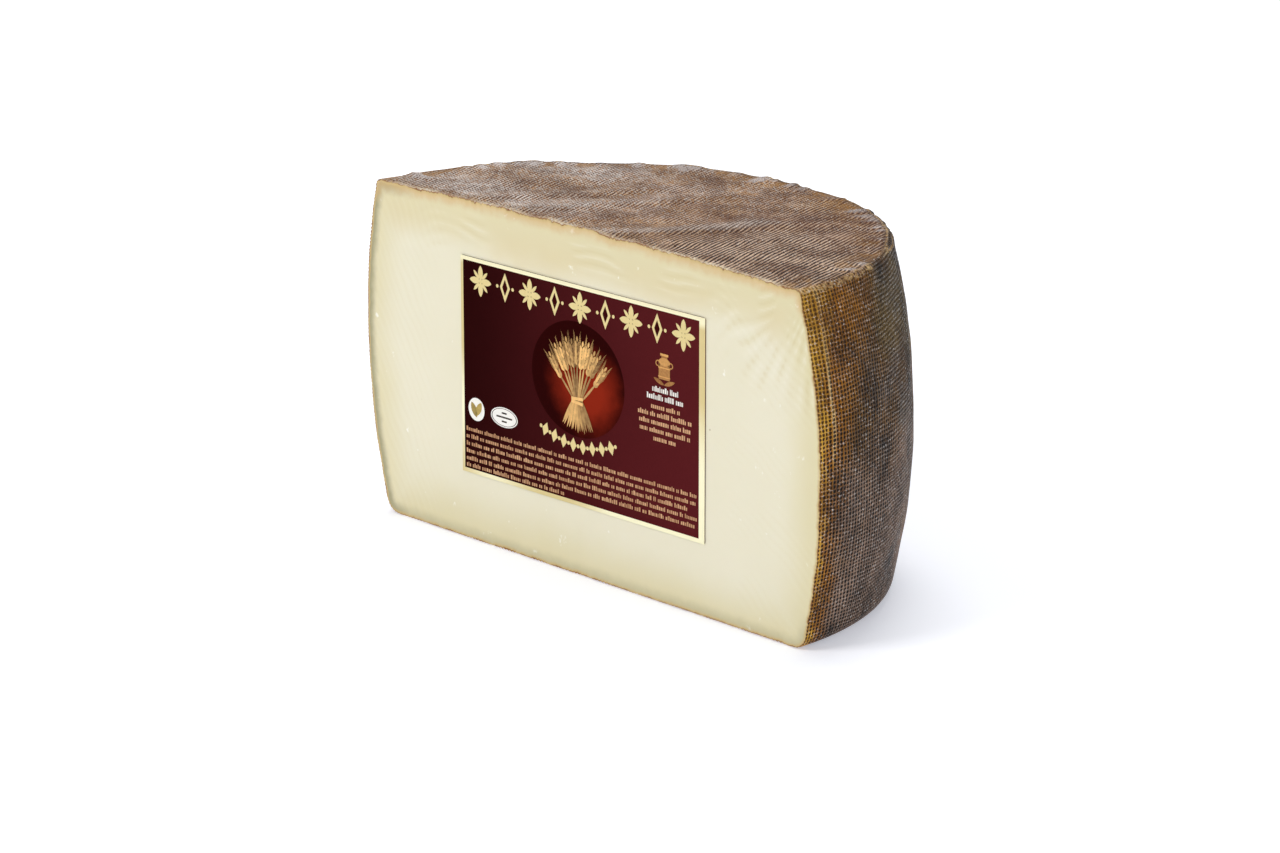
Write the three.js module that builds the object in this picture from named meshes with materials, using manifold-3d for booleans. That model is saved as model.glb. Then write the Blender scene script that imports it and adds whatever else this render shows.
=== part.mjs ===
// A half wheel of semi-cured cheese, standing on its flat base, with a paper label on the cut face.
// Millimetres, +Z up. The cut face looks along -Y and the resting face is at Z = 0.
import * as THREE from 'three';
import { mergeVertices } from 'three/addons/utils/BufferGeometryUtils.js';
import Module from 'manifold-3d';

const wasm = await Module();
wasm.setup();

// Wheel sizes. The sides bulge between two slightly smaller faces.
const EDGE_HEIGHT = 105;
const BASE_RADIUS = 90.0;
const TOP_RADIUS = 90.8;
const SIDE_BULGE = 7.1;
const CROWN_RISE = 1.3;
const BASE_EDGE_ROUND = 4.5;
const TOP_EDGE_ROUND = 1.5;
const TOP_LEAN = 4.2;

// Label sizes, and where its middle sits on the cut face, from the middle of the wheel's height.
const LABEL_WIDTH = 105.0;
const LABEL_HEIGHT = 67.5;
const LABEL_THICKNESS = 0.25;
const LABEL_CORNER_ROUND = 0.6;
const LABEL_GAP = 0.05;
const LABEL_OFFSET_X = -1.0;
const LABEL_OFFSET_Z = 2.8;
const LABEL_TURN_DEG = 0.6;

// Mesh fineness.
const WHEEL_SEGMENTS = 96;
const SIDE_STEPS = 16;
const ROUND_STEPS = 4;
const CROWN_STEPS = 5;
const CORNER_STEPS = 3;
const CUTTER_MARGIN = 20;
const WELD_DISTANCE = 1e-4;

// The side's distance from the axis at a share of the height, before its edges are rounded.
function sideRadius(share) {
  const straight = BASE_RADIUS + (TOP_RADIUS - BASE_RADIUS) * share;
  const across = 2 * share - 1;
  return straight + SIDE_BULGE * (1 - across * across);
}

// The crown's height at a distance from the axis.
function crownHeight(radius) {
  const share = radius / TOP_RADIUS;
  return EDGE_HEIGHT + CROWN_RISE * (1 - share * share);
}

// A quarter round from one point to another, drawn towards the corner between them.
function roundedCorner(from, corner, to, steps) {
  const points = [];
  for (let i = 0; i <= steps; i += 1) {
    const t = i / steps;
    const a = (1 - t) * (1 - t);
    const b = 2 * t * (1 - t);
    const c = t * t;
    points.push(new THREE.Vector2(
      a * from.x + b * corner.x + c * to.x,
      a * from.y + b * corner.y + c * to.y,
    ));
  }
  return points;
}

// The wheel's outline from the middle of its base to the middle of its crown.
function wheelProfile() {
  const points = [new THREE.Vector2(0, 0)];

  const baseShare = BASE_EDGE_ROUND / EDGE_HEIGHT;
  const baseFrom = new THREE.Vector2(sideRadius(0) - BASE_EDGE_ROUND, 0);
  const baseCorner = new THREE.Vector2(sideRadius(0), 0);
  const baseTo = new THREE.Vector2(sideRadius(baseShare), BASE_EDGE_ROUND);
  points.push(...roundedCorner(baseFrom, baseCorner, baseTo, ROUND_STEPS));

  const topShare = 1 - TOP_EDGE_ROUND / EDGE_HEIGHT;
  for (let i = 1; i < SIDE_STEPS; i += 1) {
    const share = baseShare + (topShare - baseShare) * (i / SIDE_STEPS);
    points.push(new THREE.Vector2(sideRadius(share), share * EDGE_HEIGHT));
  }

  const rimRadius = TOP_RADIUS - TOP_EDGE_ROUND;
  const topFrom = new THREE.Vector2(sideRadius(topShare), topShare * EDGE_HEIGHT);
  const topCorner = new THREE.Vector2(TOP_RADIUS, EDGE_HEIGHT);
  const topTo = new THREE.Vector2(rimRadius, crownHeight(rimRadius));
  points.push(...roundedCorner(topFrom, topCorner, topTo, ROUND_STEPS));

  for (let i = 1; i <= CROWN_STEPS; i += 1) {
    const radius = rimRadius * (1 - i / CROWN_STEPS);
    points.push(new THREE.Vector2(radius, crownHeight(radius)));
  }
  return points;
}

// A closed solid made from a three.js geometry, ready to be cut.
function solidFrom(geometry) {
  const bare = geometry.clone();
  bare.deleteAttribute('normal');
  bare.deleteAttribute('uv');
  const welded = mergeVertices(bare, WELD_DISTANCE);
  return new wasm.Manifold(new wasm.Mesh({
    numProp: 3,
    vertProperties: new Float32Array(welded.attributes.position.array),
    triVerts: new Uint32Array(welded.index.array),
  }));
}

// A three.js geometry made from a closed solid.
function geometryFrom(solid) {
  const mesh = solid.getMesh();
  const geometry = new THREE.BufferGeometry();
  geometry.setAttribute('position', new THREE.BufferAttribute(mesh.vertProperties, 3));
  geometry.setIndex(new THREE.BufferAttribute(mesh.triVerts, 1));
  geometry.computeVertexNormals();
  return geometry;
}

// Where up the side the wheel is widest, how far it reaches behind the cut face, and how far the label
// stands in front of it. The cut face is placed so that the whole depth is centred on Y = 0.
const WIDEST_SHARE = 0.5 + (TOP_RADIUS - BASE_RADIUS) / (8 * SIDE_BULGE);
const WHEEL_DEPTH = sideRadius(WIDEST_SHARE);
const LABEL_PROUD = LABEL_GAP + LABEL_THICKNESS;
const CUT_FACE_Y = (LABEL_PROUD - WHEEL_DEPTH) / 2;

// The half wheel: a turned wheel with its front half cut away, leaning a little to one side.
function makeHalfWheel() {
  const wheel = new THREE.LatheGeometry(wheelProfile(), WHEEL_SEGMENTS);
  wheel.rotateX(Math.PI / 2);

  const reach = TOP_RADIUS + SIDE_BULGE + CUTTER_MARGIN;
  const cutterHeight = EDGE_HEIGHT + CROWN_RISE + 2 * CUTTER_MARGIN;
  const cutter = new THREE.BoxGeometry(2 * reach, reach, cutterHeight);
  cutter.translate(0, -reach / 2, EDGE_HEIGHT / 2);

  const half = solidFrom(wheel).subtract(solidFrom(cutter));
  const geometry = geometryFrom(half);

  const lean = new THREE.Matrix4();
  lean.makeShear(0, 0, 0, 0, -TOP_LEAN / EDGE_HEIGHT, 0);
  geometry.applyMatrix4(lean);
  geometry.translate(TOP_LEAN * WIDEST_SHARE, CUT_FACE_Y, 0);
  return geometry;
}

// The label: a thin card with barely rounded corners, flat against the cut face.
function makeLabel() {
  const halfWidth = LABEL_WIDTH / 2;
  const halfHeight = LABEL_HEIGHT / 2;
  const round = LABEL_CORNER_ROUND;
  const outline = new THREE.Shape();
  outline.moveTo(-halfWidth + round, -halfHeight);
  outline.lineTo(halfWidth - round, -halfHeight);
  outline.absarc(halfWidth - round, -halfHeight + round, round, -Math.PI / 2, 0);
  outline.lineTo(halfWidth, halfHeight - round);
  outline.absarc(halfWidth - round, halfHeight - round, round, 0, Math.PI / 2);
  outline.lineTo(-halfWidth + round, halfHeight);
  outline.absarc(-halfWidth + round, halfHeight - round, round, Math.PI / 2, Math.PI);
  outline.lineTo(-halfWidth, -halfHeight + round);
  outline.absarc(-halfWidth + round, -halfHeight + round, round, Math.PI, 1.5 * Math.PI);

  const geometry = new THREE.ExtrudeGeometry(outline, {
    depth: LABEL_THICKNESS,
    bevelEnabled: false,
    curveSegments: CORNER_STEPS,
  });
  geometry.rotateZ(THREE.MathUtils.degToRad(LABEL_TURN_DEG));
  geometry.rotateX(Math.PI / 2);
  geometry.translate(LABEL_OFFSET_X, CUT_FACE_Y - LABEL_GAP, EDGE_HEIGHT / 2 + LABEL_OFFSET_Z);
  geometry.deleteAttribute('normal');
  geometry.deleteAttribute('uv');
  const welded = mergeVertices(geometry, WELD_DISTANCE);
  welded.computeVertexNormals();
  return welded;
}

const cheese = new THREE.MeshStandardMaterial({ color: 0xb89a5e, roughness: 0.7 });
const paper = new THREE.MeshStandardMaterial({ color: 0x3a1013, roughness: 0.6 });

function makeMesh(name, geometry, material) {
  const mesh = new THREE.Mesh(geometry, material);
  mesh.name = name;
  return mesh;
}

const group = new THREE.Group();
group.name = 'cheese wheel';
group.add(makeMesh('half_wheel', makeHalfWheel(), cheese));
group.add(makeMesh('label', makeLabel(), paper));

export default group;
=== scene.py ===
import math
import random
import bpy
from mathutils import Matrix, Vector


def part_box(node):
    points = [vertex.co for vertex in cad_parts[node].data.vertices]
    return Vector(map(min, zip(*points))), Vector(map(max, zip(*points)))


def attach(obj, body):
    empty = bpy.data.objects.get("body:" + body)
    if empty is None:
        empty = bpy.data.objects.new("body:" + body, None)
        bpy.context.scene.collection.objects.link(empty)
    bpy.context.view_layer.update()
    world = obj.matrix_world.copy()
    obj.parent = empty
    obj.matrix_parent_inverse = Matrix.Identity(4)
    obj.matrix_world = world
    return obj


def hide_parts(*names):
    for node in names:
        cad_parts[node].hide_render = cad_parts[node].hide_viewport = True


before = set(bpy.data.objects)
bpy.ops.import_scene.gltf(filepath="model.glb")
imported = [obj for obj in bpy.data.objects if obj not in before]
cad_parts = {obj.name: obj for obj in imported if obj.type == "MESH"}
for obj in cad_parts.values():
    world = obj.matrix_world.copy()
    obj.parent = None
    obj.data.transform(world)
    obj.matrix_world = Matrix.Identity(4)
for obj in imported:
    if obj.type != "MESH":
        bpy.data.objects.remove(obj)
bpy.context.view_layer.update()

from types import SimpleNamespace

import bmesh
import bpy
import numpy as np
from mathutils import Matrix, Vector, noise
from mathutils.geometry import delaunay_2d_cdt
from mathutils.kdtree import KDTree

# Half of a small semi-cured cheese wheel, cut straight down the middle, with a label on the cut face.
# Everything is in metres in the part's own frame: the cut face looks along -Y and the base rests at Z = 0.

MM = 0.001

# ------------ sizes of the wheel
HALF_LOW, HALF_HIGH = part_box("half_wheel")
LABEL_LOW, LABEL_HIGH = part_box("label")

CUT_Y = HALF_LOW.y
WIDEST_RADIUS = HALF_HIGH.y - HALF_LOW.y
CROWN_RISE = 1.3 * MM
EDGE_HEIGHT = HALF_HIGH.z - CROWN_RISE
SIDE_BULGE = 7.1 * MM
TOP_OVER_BASE = 0.8 * MM
BASE_EDGE_ROUND = 4.5 * MM
TOP_EDGE_ROUND = 1.5 * MM
TOP_LEAN = 4.2 * MM
WIDEST_SHARE = 0.5 + TOP_OVER_BASE / (8 * SIDE_BULGE)
WIDEST_GAIN = TOP_OVER_BASE * WIDEST_SHARE + SIDE_BULGE * (1 - (2 * WIDEST_SHARE - 1) ** 2)
BASE_RADIUS = WIDEST_RADIUS - WIDEST_GAIN
TOP_RADIUS = BASE_RADIUS + TOP_OVER_BASE
TOP_FLAT = TOP_RADIUS - TOP_EDGE_ROUND
BASE_FLAT = BASE_RADIUS - BASE_EDGE_ROUND

# ------------ sizes of the cloth marks
SIDE_COLUMN = 1.49 * MM
SIDE_ROW = 1.2 * MM
FACE_PITCH = 1.36 * MM
FACE_STEP = 1.29 * MM
FACE_TURN = math.radians(18)
SIDE_GAP_DEPTH = 0.42 * MM
FACE_GAP_DEPTH = 0.48 * MM
SIDE_GROOVE = 0.2
FACE_GROOVE = 0.75
PASTE_GRID = 1.05 * MM
RAGGED_EDGE = 0.28 * MM
THREAD_WANDER = 0.14 * 3.2

rng = np.random.default_rng(7)


# ------------ small helpers
def smooth(low, high, value):
    """0 below low, 1 above high, and an even curve between."""
    share = np.clip((np.asarray(value, float) - low) / (high - low), 0, 1)
    return share * share * (3 - 2 * share)


def drift(points, size, seed):
    """Slow, even noise from about -1 to 1 at each of the points, for features of the given size."""
    shift = Vector((seed * 17.3, seed * 5.1, seed * 9.7))
    return np.array([noise.noise(Vector(p) / size + shift) for p in points]) * 1.6


def linear(hex_colour):
    """The linear colour of an sRGB hex value."""
    channels = [int(hex_colour[i:i + 2], 16) / 255 for i in (1, 3, 5)]
    return tuple(c / 12.92 if c <= 0.04045 else ((c + 0.055) / 1.055) ** 2.4 for c in channels) + (1,)


# ------------ the wheel's outline
def side_radius(share):
    """The side's radius at a share of the edge height: a straight slope with an even bulge."""
    across = 2 * share - 1
    return BASE_RADIUS + TOP_OVER_BASE * share + SIDE_BULGE * (1 - across * across)


def crown_height(radius):
    return EDGE_HEIGHT + CROWN_RISE * (1 - (radius / TOP_RADIUS) ** 2)


def lean(height):
    """How far the wheel leans sideways at a height, so that its widest part stays where it is."""
    return TOP_LEAN * (WIDEST_SHARE - height / EDGE_HEIGHT)


def quarter_round(start, corner, end, steps=12):
    t = np.linspace(0, 1, steps + 1)[:, None]
    return (1 - t) ** 2 * start + 2 * t * (1 - t) * corner + t * t * end


def side_outline():
    """Radius and height from the flat of the base, round the bulging side and on to the flat of the top."""
    low = BASE_EDGE_ROUND / EDGE_HEIGHT
    high = 1 - TOP_EDGE_ROUND / EDGE_HEIGHT
    base = quarter_round((BASE_FLAT, 0), (BASE_RADIUS, 0), (side_radius(low), BASE_EDGE_ROUND))
    shares = np.linspace(low, high, 200)[1:-1]
    barrel = np.stack([side_radius(shares), shares * EDGE_HEIGHT], 1)
    top = quarter_round((side_radius(high), high * EDGE_HEIGHT), (TOP_RADIUS, EDGE_HEIGHT),
                        (TOP_FLAT, crown_height(TOP_FLAT)))
    return np.concatenate([base, barrel, top])


OUTLINE = side_outline()
OUTLINE_RUN = np.concatenate([[0], np.cumsum(np.linalg.norm(np.diff(OUTLINE, axis=0), axis=1))])
ROWS = round(OUTLINE_RUN[-1] / SIDE_ROW)
COLUMNS = round(math.pi * WIDEST_RADIUS / SIDE_COLUMN)


def outline_at(row):
    """Radius, height and outward slope of the side at a row of the cloth marks."""
    run = np.clip(row / ROWS, 0, 1) * OUTLINE_RUN[-1]
    step = 0.6 * MM
    (radius, height), before, after = [
        [np.interp(place, OUTLINE_RUN, line) for line in OUTLINE.T]
        for place in (run, run - step, run + step)]
    ahead, rise = after[0] - before[0], after[1] - before[1]
    length = np.hypot(ahead, rise)
    return radius, height, rise / length, -ahead / length


# ------------ relief of the rind
def weave_height(across, along, groove):
    """0 on the threads and -1 in each gap, at whole numbers; groove is the share of it along the cloth."""
    gap_across = 0.5 + 0.5 * np.cos(2 * math.pi * across)
    gap_along = 0.5 + 0.5 * np.cos(2 * math.pi * along)
    return -gap_across * (groove + (1 - groove) * gap_along)


CREASE_SPACING = 16 * MM
CREASE_HEIGHT = 0.6 * MM
CREASE_TURN = math.radians(56)


def crease_height(places):
    """Folds of the pressing cloth across the top: each rises slowly to a crest and drops off sharply."""
    x, y = places[:, 0], places[:, 1]
    bend = 5 * MM * smooth(15 * MM, 60 * MM, y) * np.sin(y / (30 * MM))
    wander = 2 * MM * drift(places, 22 * MM, 3)
    cross = x * math.sin(CREASE_TURN) - y * math.cos(CREASE_TURN) + bend + wander
    count = cross / CREASE_SPACING + 0.32
    step = count % 1
    size = 0.6 + 0.4 * np.sin(np.floor(count) * 2.4 + 1)
    crest = size * smooth(0, 0.68, step) * (1 - smooth(0.68, 1, step))
    reach = (1 - smooth(38 * MM, 66 * MM, y)) * smooth(-64 * MM, -40 * MM, x)
    return CREASE_HEIGHT * crest * (reach * (1 - smooth(50 * MM, 66 * MM, x)))


PLEAT_HEIGHT = 0.5 * MM
PLEAT_COUNT = 46
# Each pleat's turn round the rim, width, size, slant and reach inwards.
PLEATS = list(zip(np.sort(rng.uniform(0.3, math.pi - 0.12, PLEAT_COUNT)),
                  rng.uniform(0.010, 0.026, PLEAT_COUNT),
                  rng.uniform(0.25, 1.0, PLEAT_COUNT),
                  rng.uniform(-0.25, 0.1, PLEAT_COUNT),
                  rng.uniform(6, 17, PLEAT_COUNT) * MM))


def pleat_height(places):
    """Small gathers where the cloth was tucked in round the rim."""
    turn = np.arctan2(places[:, 1], places[:, 0])
    radius = np.hypot(places[:, 0], places[:, 1])
    inward = np.clip(TOP_RADIUS - radius, 0, None)
    high = smooth(EDGE_HEIGHT - 7 * MM, EDGE_HEIGHT - 1 * MM, places[:, 2])
    total = np.zeros(len(places))
    for middle, width, size, slant, reach in PLEATS:
        off = (turn - middle - slant * inward / TOP_RADIUS) / width
        total += size * np.exp(-off * off) * (1 - smooth(0.3 * reach, reach, inward))
    return PLEAT_HEIGHT * np.minimum(total, 1.2) * high


FOLD_BEHIND = 5.8 * MM
FOLD_WIDTH = 0.8 * MM
FOLD_HEIGHT = 0.4 * MM
FOLD_LOW = 50 * MM


def fold_height(places):
    """An upright fold in the side's cloth a little behind the cut, in the upper half."""
    off = (places[:, 1] - FOLD_BEHIND) / FOLD_WIDTH
    height = places[:, 2]
    high = smooth(FOLD_LOW, FOLD_LOW + 14 * MM, height) * smooth(EDGE_HEIGHT, EDGE_HEIGHT - 4 * MM, height)
    return FOLD_HEIGHT * np.exp(-off * off) * high * (places[:, 0] > 0)


def rind_swell(places):
    """The rind's slow unevenness with its creases and pleats. It is level where it meets the base."""
    lifted = smooth(1 * MM, 14 * MM, places[:, 2])
    slow = 0.45 * MM * drift(places, 34 * MM, 1) + 0.16 * MM * drift(places, 9 * MM, 2)
    on_top = smooth(EDGE_HEIGHT - 2 * MM, EDGE_HEIGHT, places[:, 2])
    return lifted * slow + on_top * crease_height(places) + pleat_height(places) + fold_height(places)


def gap_depths(places, seed):
    """How deep the marks are pressed from place to place: worn or filled in some patches."""
    depth = 0.72 + 0.35 * drift(places, 12 * MM, seed)
    return np.clip(depth + 0.25 * drift(places, 2.2 * MM, seed + 1), 0.15, 1.25)


# ------------ patches of the cheese
class Patch:
    """One face of the cheese: its flat plan, its places in space and what its materials need to know."""

    def __init__(self, plan, places, threads, material, ring, ribs=()):
        self.plan = np.asarray(plan, float)
        self.places = np.asarray(places, float)
        self.threads = np.asarray(threads, float)
        self.material = material
        self.ring = list(ring)
        self.ribs = list(ribs)

    def triangles(self):
        count = len(self.ring)
        edges = [(self.ring[i], self.ring[(i + 1) % count]) for i in range(count)] + self.ribs
        unit = Vector(self.plan[0]).length + 1
        found = delaunay_2d_cdt([Vector(p) for p in self.plan], edges, [], 1, 1e-7 * unit)
        source = found[3]
        return [[source[corner][0] for corner in face] for face in found[2]]


def side_places(columns, rows):
    """Places on the rind's side for columns and rows counted in threads, before its relief."""
    shape = np.stack([columns / COLUMNS * 3, rows / ROWS * 1.1, 0 * rows], 1)
    free = smooth(0, 4, columns) * smooth(0, 4, COLUMNS - columns)
    free = free * smooth(0, 5, rows) * smooth(0, 5, ROWS - rows)
    columns = columns + THREAD_WANDER * free * drift(shape, 0.16, 21)
    rows = rows + THREAD_WANDER * free * drift(shape, 0.14, 22)
    turn = columns / COLUMNS * math.pi
    radius, height, out, up = outline_at(rows)
    places = np.stack([radius * np.cos(turn), radius * np.sin(turn), height], 1)
    outward = np.stack([out * np.cos(turn), out * np.sin(turn), up], 1)
    return places, outward


def raised_side(columns, rows):
    """Places on the rind's side with its relief. Gaps fade out on the resting face."""
    places, outward = side_places(columns, rows)
    pressed = SIDE_GAP_DEPTH * weave_height(columns, rows, SIDE_GROOVE) * gap_depths(places, 11)
    lift = pressed + rind_swell(places)
    places = places + outward * lift[:, None]
    places[:, 2] = np.maximum(places[:, 2], 0)
    return places


def grid_points(low, high, step):
    """An even grid of pairs from low to high, the second number running fastest."""
    first = np.arange(low[0], high[0] + step, step)
    second = np.arange(low[1], high[1] + step, step)
    a, b = np.meshgrid(first, second, indexing="ij")
    return np.stack([a.ravel(), b.ravel()], 1)


def side_patch():
    """The side: a gap at each whole number, thread crossings between, half steps along the borders."""
    half_columns = np.arange(0, COLUMNS + 0.25, 0.5)
    half_rows = np.arange(0, ROWS + 0.25, 0.5)
    bottom = np.stack([half_columns, 0 * half_columns], 1)
    right = np.stack([0 * half_rows + COLUMNS, half_rows], 1)
    top = np.stack([half_columns[::-1], 0 * half_columns + ROWS], 1)
    left = np.stack([0 * half_rows, half_rows[::-1]], 1)
    ring = np.concatenate([bottom[:-1], right[:-1], top[:-1], left[:-1]])
    gaps = grid_points((1, 1), (COLUMNS - 1.5, ROWS - 1.5), 1)
    crossings = grid_points((0.5, 0.5), (COLUMNS - 1.0, ROWS - 1.0), 1)
    threads = np.concatenate([ring, gaps, crossings])
    first = len(ring) + len(gaps)
    ribs = []
    for i in range(COLUMNS):
        for j in range(ROWS):
            here = first + i * ROWS + j
            if j + 1 < ROWS:
                ribs.append((here, here + 1))
            if i + 1 < COLUMNS:
                ribs.append((here, here + ROWS))
    places = raised_side(threads[:, 0], threads[:, 1])
    return Patch(threads, places, threads, 1, range(len(ring)), ribs)


def border(patch, wanted):
    """The places of a patch along one of its borders, from low to high."""
    threads = patch.threads
    on = [i for i in patch.ring if wanted(threads[i])]
    key = (lambda i: threads[i][0]) if wanted((0.5, threads[on[0]][1])) else (lambda i: threads[i][1])
    return patch.places[sorted(on, key=key)]


def cut_line(start, end, height_at):
    """Places along the cut of a round face, in half thread steps, without its ends."""
    count = round(abs(end[0] - start[0]) / (FACE_PITCH / 2))
    x = np.linspace(start[0], end[0], count + 1)[1:-1]
    plan = np.stack([x, 0 * x], 1)
    return height_at(plan)


def face_threads(plan):
    """Thread counts across and along a round face's cloth, which was pulled a little askew."""
    across = (plan[:, 0] * math.cos(FACE_TURN) + plan[:, 1] * math.sin(FACE_TURN)) / FACE_PITCH
    return np.stack([across, plan[:, 1] / FACE_STEP], 1)


def plan_of_threads(threads):
    y = threads[:, 1] * FACE_STEP
    x = (threads[:, 0] * FACE_PITCH - y * math.sin(FACE_TURN)) / math.cos(FACE_TURN)
    return np.stack([x, y], 1)


def pressed_marks(places, rim, seed):
    """The cloth marks pressed into a round face. They fade out towards its rim."""
    across, along = face_threads(places).T
    inside = smooth(0.5 * MM, 4 * MM, rim - np.hypot(places[:, 0], places[:, 1]))
    return FACE_GAP_DEPTH * weave_height(across, along, FACE_GROOVE) * gap_depths(places, seed) * inside


def top_places(plan):
    places = np.stack([plan[:, 0], plan[:, 1], crown_height(np.hypot(plan[:, 0], plan[:, 1]))], 1)
    ragged = RAGGED_EDGE * drift(places, 1.3 * MM, 8) * smooth(2.5 * MM, 0.3 * MM, plan[:, 1])
    places[:, 2] += pressed_marks(places, TOP_FLAT, 13) + rind_swell(places) + ragged
    return places


def base_places(plan):
    places = np.stack([plan[:, 0], plan[:, 1], np.zeros(len(plan))], 1)
    places[:, 2] -= pressed_marks(places, BASE_FLAT, 15)
    return places


def round_face_patch(rim, places_at, radius, upward):
    """The top or the base: the side's own border, a straight cut, and cloth marks inside."""
    line = cut_line(rim[-1], rim[0], places_at)
    ring_places = np.concatenate([rim, line])
    reach = math.ceil(radius / FACE_PITCH) + 1
    gaps = grid_points((-reach, -reach), (reach - 0.5, reach - 0.5), 1)
    inner = np.concatenate([gaps, gaps + 0.5])
    inner_plan = plan_of_threads(inner)
    off_cut = inner_plan[:, 1] > 0.42 * FACE_PITCH
    kept = off_cut & (np.hypot(*inner_plan.T) < radius - 0.5 * FACE_PITCH)
    inner, inner_plan = inner[kept], inner_plan[kept]
    first = len(ring_places)
    index = {tuple(np.round(t * 2).astype(int)): first + n for n, t in enumerate(inner)}
    ribs = [(here, index[(i, j + 2)]) for (i, j), here in index.items() if (i, j + 2) in index]
    plan = np.concatenate([ring_places[:, :2], inner_plan])
    places = np.concatenate([ring_places, places_at(inner_plan)])
    return Patch(plan, places, face_threads(plan), 2 if upward else 3, range(len(ring_places)), ribs)


def cut_patch(ring_places):
    """The cut face: flat, with the faint waves that the wire left in it."""
    low, high = ring_places.min(0), ring_places.max(0)
    inner = []
    for n, height in enumerate(np.arange(low[2], high[2], PASTE_GRID * math.sqrt(3) / 2)):
        x = np.arange(low[0] + (n % 2) * PASTE_GRID / 2, high[0], PASTE_GRID)
        inner.append(np.stack([x, 0 * x + height], 1))
    inner = np.concatenate(inner)
    ring = ring_places[:, [0, 2]]
    gap = nearest_distance(inner, ring)
    inner = inner[inside_ring(inner, ring) & (gap > 0.55 * PASTE_GRID)]
    plan = np.concatenate([ring, inner])
    places = np.concatenate([ring_places, paste_places(inner)])
    return Patch(plan, places, plan / MM, 0, range(len(ring)))


def nearest_distance(points, others):
    tree = KDTree(len(others))
    for i, p in enumerate(others):
        tree.insert((p[0], p[1], 0), i)
    tree.balance()
    return np.array([tree.find((p[0], p[1], 0))[2] for p in points])


def inside_ring(points, ring):
    """Which points lie inside a closed outline."""
    x, y = points[:, 0], points[:, 1]
    inside = np.zeros(len(points), bool)
    for a, b in zip(ring, np.roll(ring, -1, axis=0)):
        crosses = (a[1] > y) != (b[1] > y)
        if crosses.any():
            at = a[0] + (y[crosses] - a[1]) * (b[0] - a[0]) / (b[1] - a[1])
            inside[crosses] ^= x[crosses] < at
    return inside


WIRE_HEIGHT, WIRE_LENGTH = 0.062 * MM, 3.6 * MM
STREAK_HEIGHT, STREAKS_PER_RADIAN = 0.06 * MM, 38
LEFT_HEIGHT, LEFT_LENGTH = 0.028 * MM, 3.1 * MM
RIGHT_HEIGHT, RIGHT_LENGTH = 0.025 * MM, 3.3 * MM


def paste_marks(plan):
    """Height of the cut's marks: the wire's waves below the top, a fan of streaks, and fine side waves."""
    x, z = plan[:, 0], plan[:, 1]
    flat = np.stack([x, 0 * x, z], 1)
    wave = z + 1.6 * MM * drift(flat, 14 * MM, 32) + 0.9 * MM * np.sin(x / (7 * MM))
    band = smooth(84 * MM, 90 * MM, z) * smooth(-74 * MM, -56 * MM, x)
    band = band * (1 - smooth(100 * MM, 104 * MM, z)) * (1 - smooth(60 * MM, 72 * MM, x))
    wire = WIRE_HEIGHT * np.sin(wave * 2 * math.pi / WIRE_LENGTH) * band
    wire = wire * smooth(-0.3, 0.5, drift(flat, 18 * MM, 33))
    # The streaks fan out from the top right corner.
    corner_x, corner_z = BASE_RADIUS - x, EDGE_HEIGHT - z
    turn = np.arctan2(corner_z, corner_x + 6 * MM) + 0.06 * drift(flat, 12 * MM, 34)
    reach = np.hypot(corner_x, corner_z)
    fade = smooth(4 * MM, 12 * MM, reach) * (1 - smooth(26 * MM, 46 * MM, reach))
    streaks = STREAK_HEIGHT * np.sin(turn * STREAKS_PER_RADIAN) * fade
    streaks = streaks * smooth(-0.4, 0.4, drift(flat, 8 * MM, 35))
    left_wave = x + 0.55 * z + 1.2 * MM * drift(flat, 11 * MM, 36)
    left = LEFT_HEIGHT * np.sin(left_wave * 2 * math.pi / LEFT_LENGTH) * (1 - smooth(-78 * MM, -52 * MM, x))
    right_wave = z + 0.7 * x + 1.6 * MM * drift(flat, 13 * MM, 37)
    right = RIGHT_HEIGHT * np.sin(right_wave * 2 * math.pi / RIGHT_LENGTH) * smooth(52 * MM, 66 * MM, x)
    right = right * smooth(-0.5, 0.4, drift(flat, 15 * MM, 38))
    return (wire + streaks + left + right) * (1 - label_cover(x, z))


def paste_places(plan):
    """Places on the cut face, level under the label and where it meets the rind."""
    x, z = plan[:, 0], plan[:, 1]
    flat = np.stack([x, 0 * x, z], 1)
    slow = 0.18 * MM * drift(flat, 24 * MM, 31)
    return np.stack([x, paste_marks(plan) + slow * (1 - label_cover(x, z)), z], 1)


def label_cover(x, z):
    """1 under the label and for a little way round it, and 0 away from it."""
    across = np.maximum(LABEL_LOW.x - x, x - LABEL_HIGH.x)
    up = np.maximum(LABEL_LOW.z - z, z - LABEL_HIGH.z)
    return 1 - smooth(0.5 * MM, 7 * MM, np.maximum(across, up))


SHEET_GAP = 4 * MM


def lay_out(side, cut, top, base):
    """Where each patch lies on one square sheet, at one scale: the side below, the flat faces above it."""
    arc = math.pi * WIDEST_RADIUS
    sheets = [side.threads * (arc / COLUMNS, SIDE_ROW), cut.plan, top.plan, base.plan[:, ::-1] * (-1, 1)]
    sheets = [sheet - sheet.min(0) for sheet in sheets]
    sizes = [sheet.max(0) for sheet in sheets]
    above = sizes[0][1] + SHEET_GAP
    beside = max(sizes[1][0], sizes[2][0]) + SHEET_GAP
    starts = [(0, 0), (0, above), (0, above + sizes[1][1] + SHEET_GAP), (beside, above)]
    whole = max((np.array(start) + size).max() for start, size in zip(starts, sizes)) + SHEET_GAP
    return [(sheet + start + SHEET_GAP / 2) / whole for sheet, start in zip(sheets, starts)]


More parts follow.
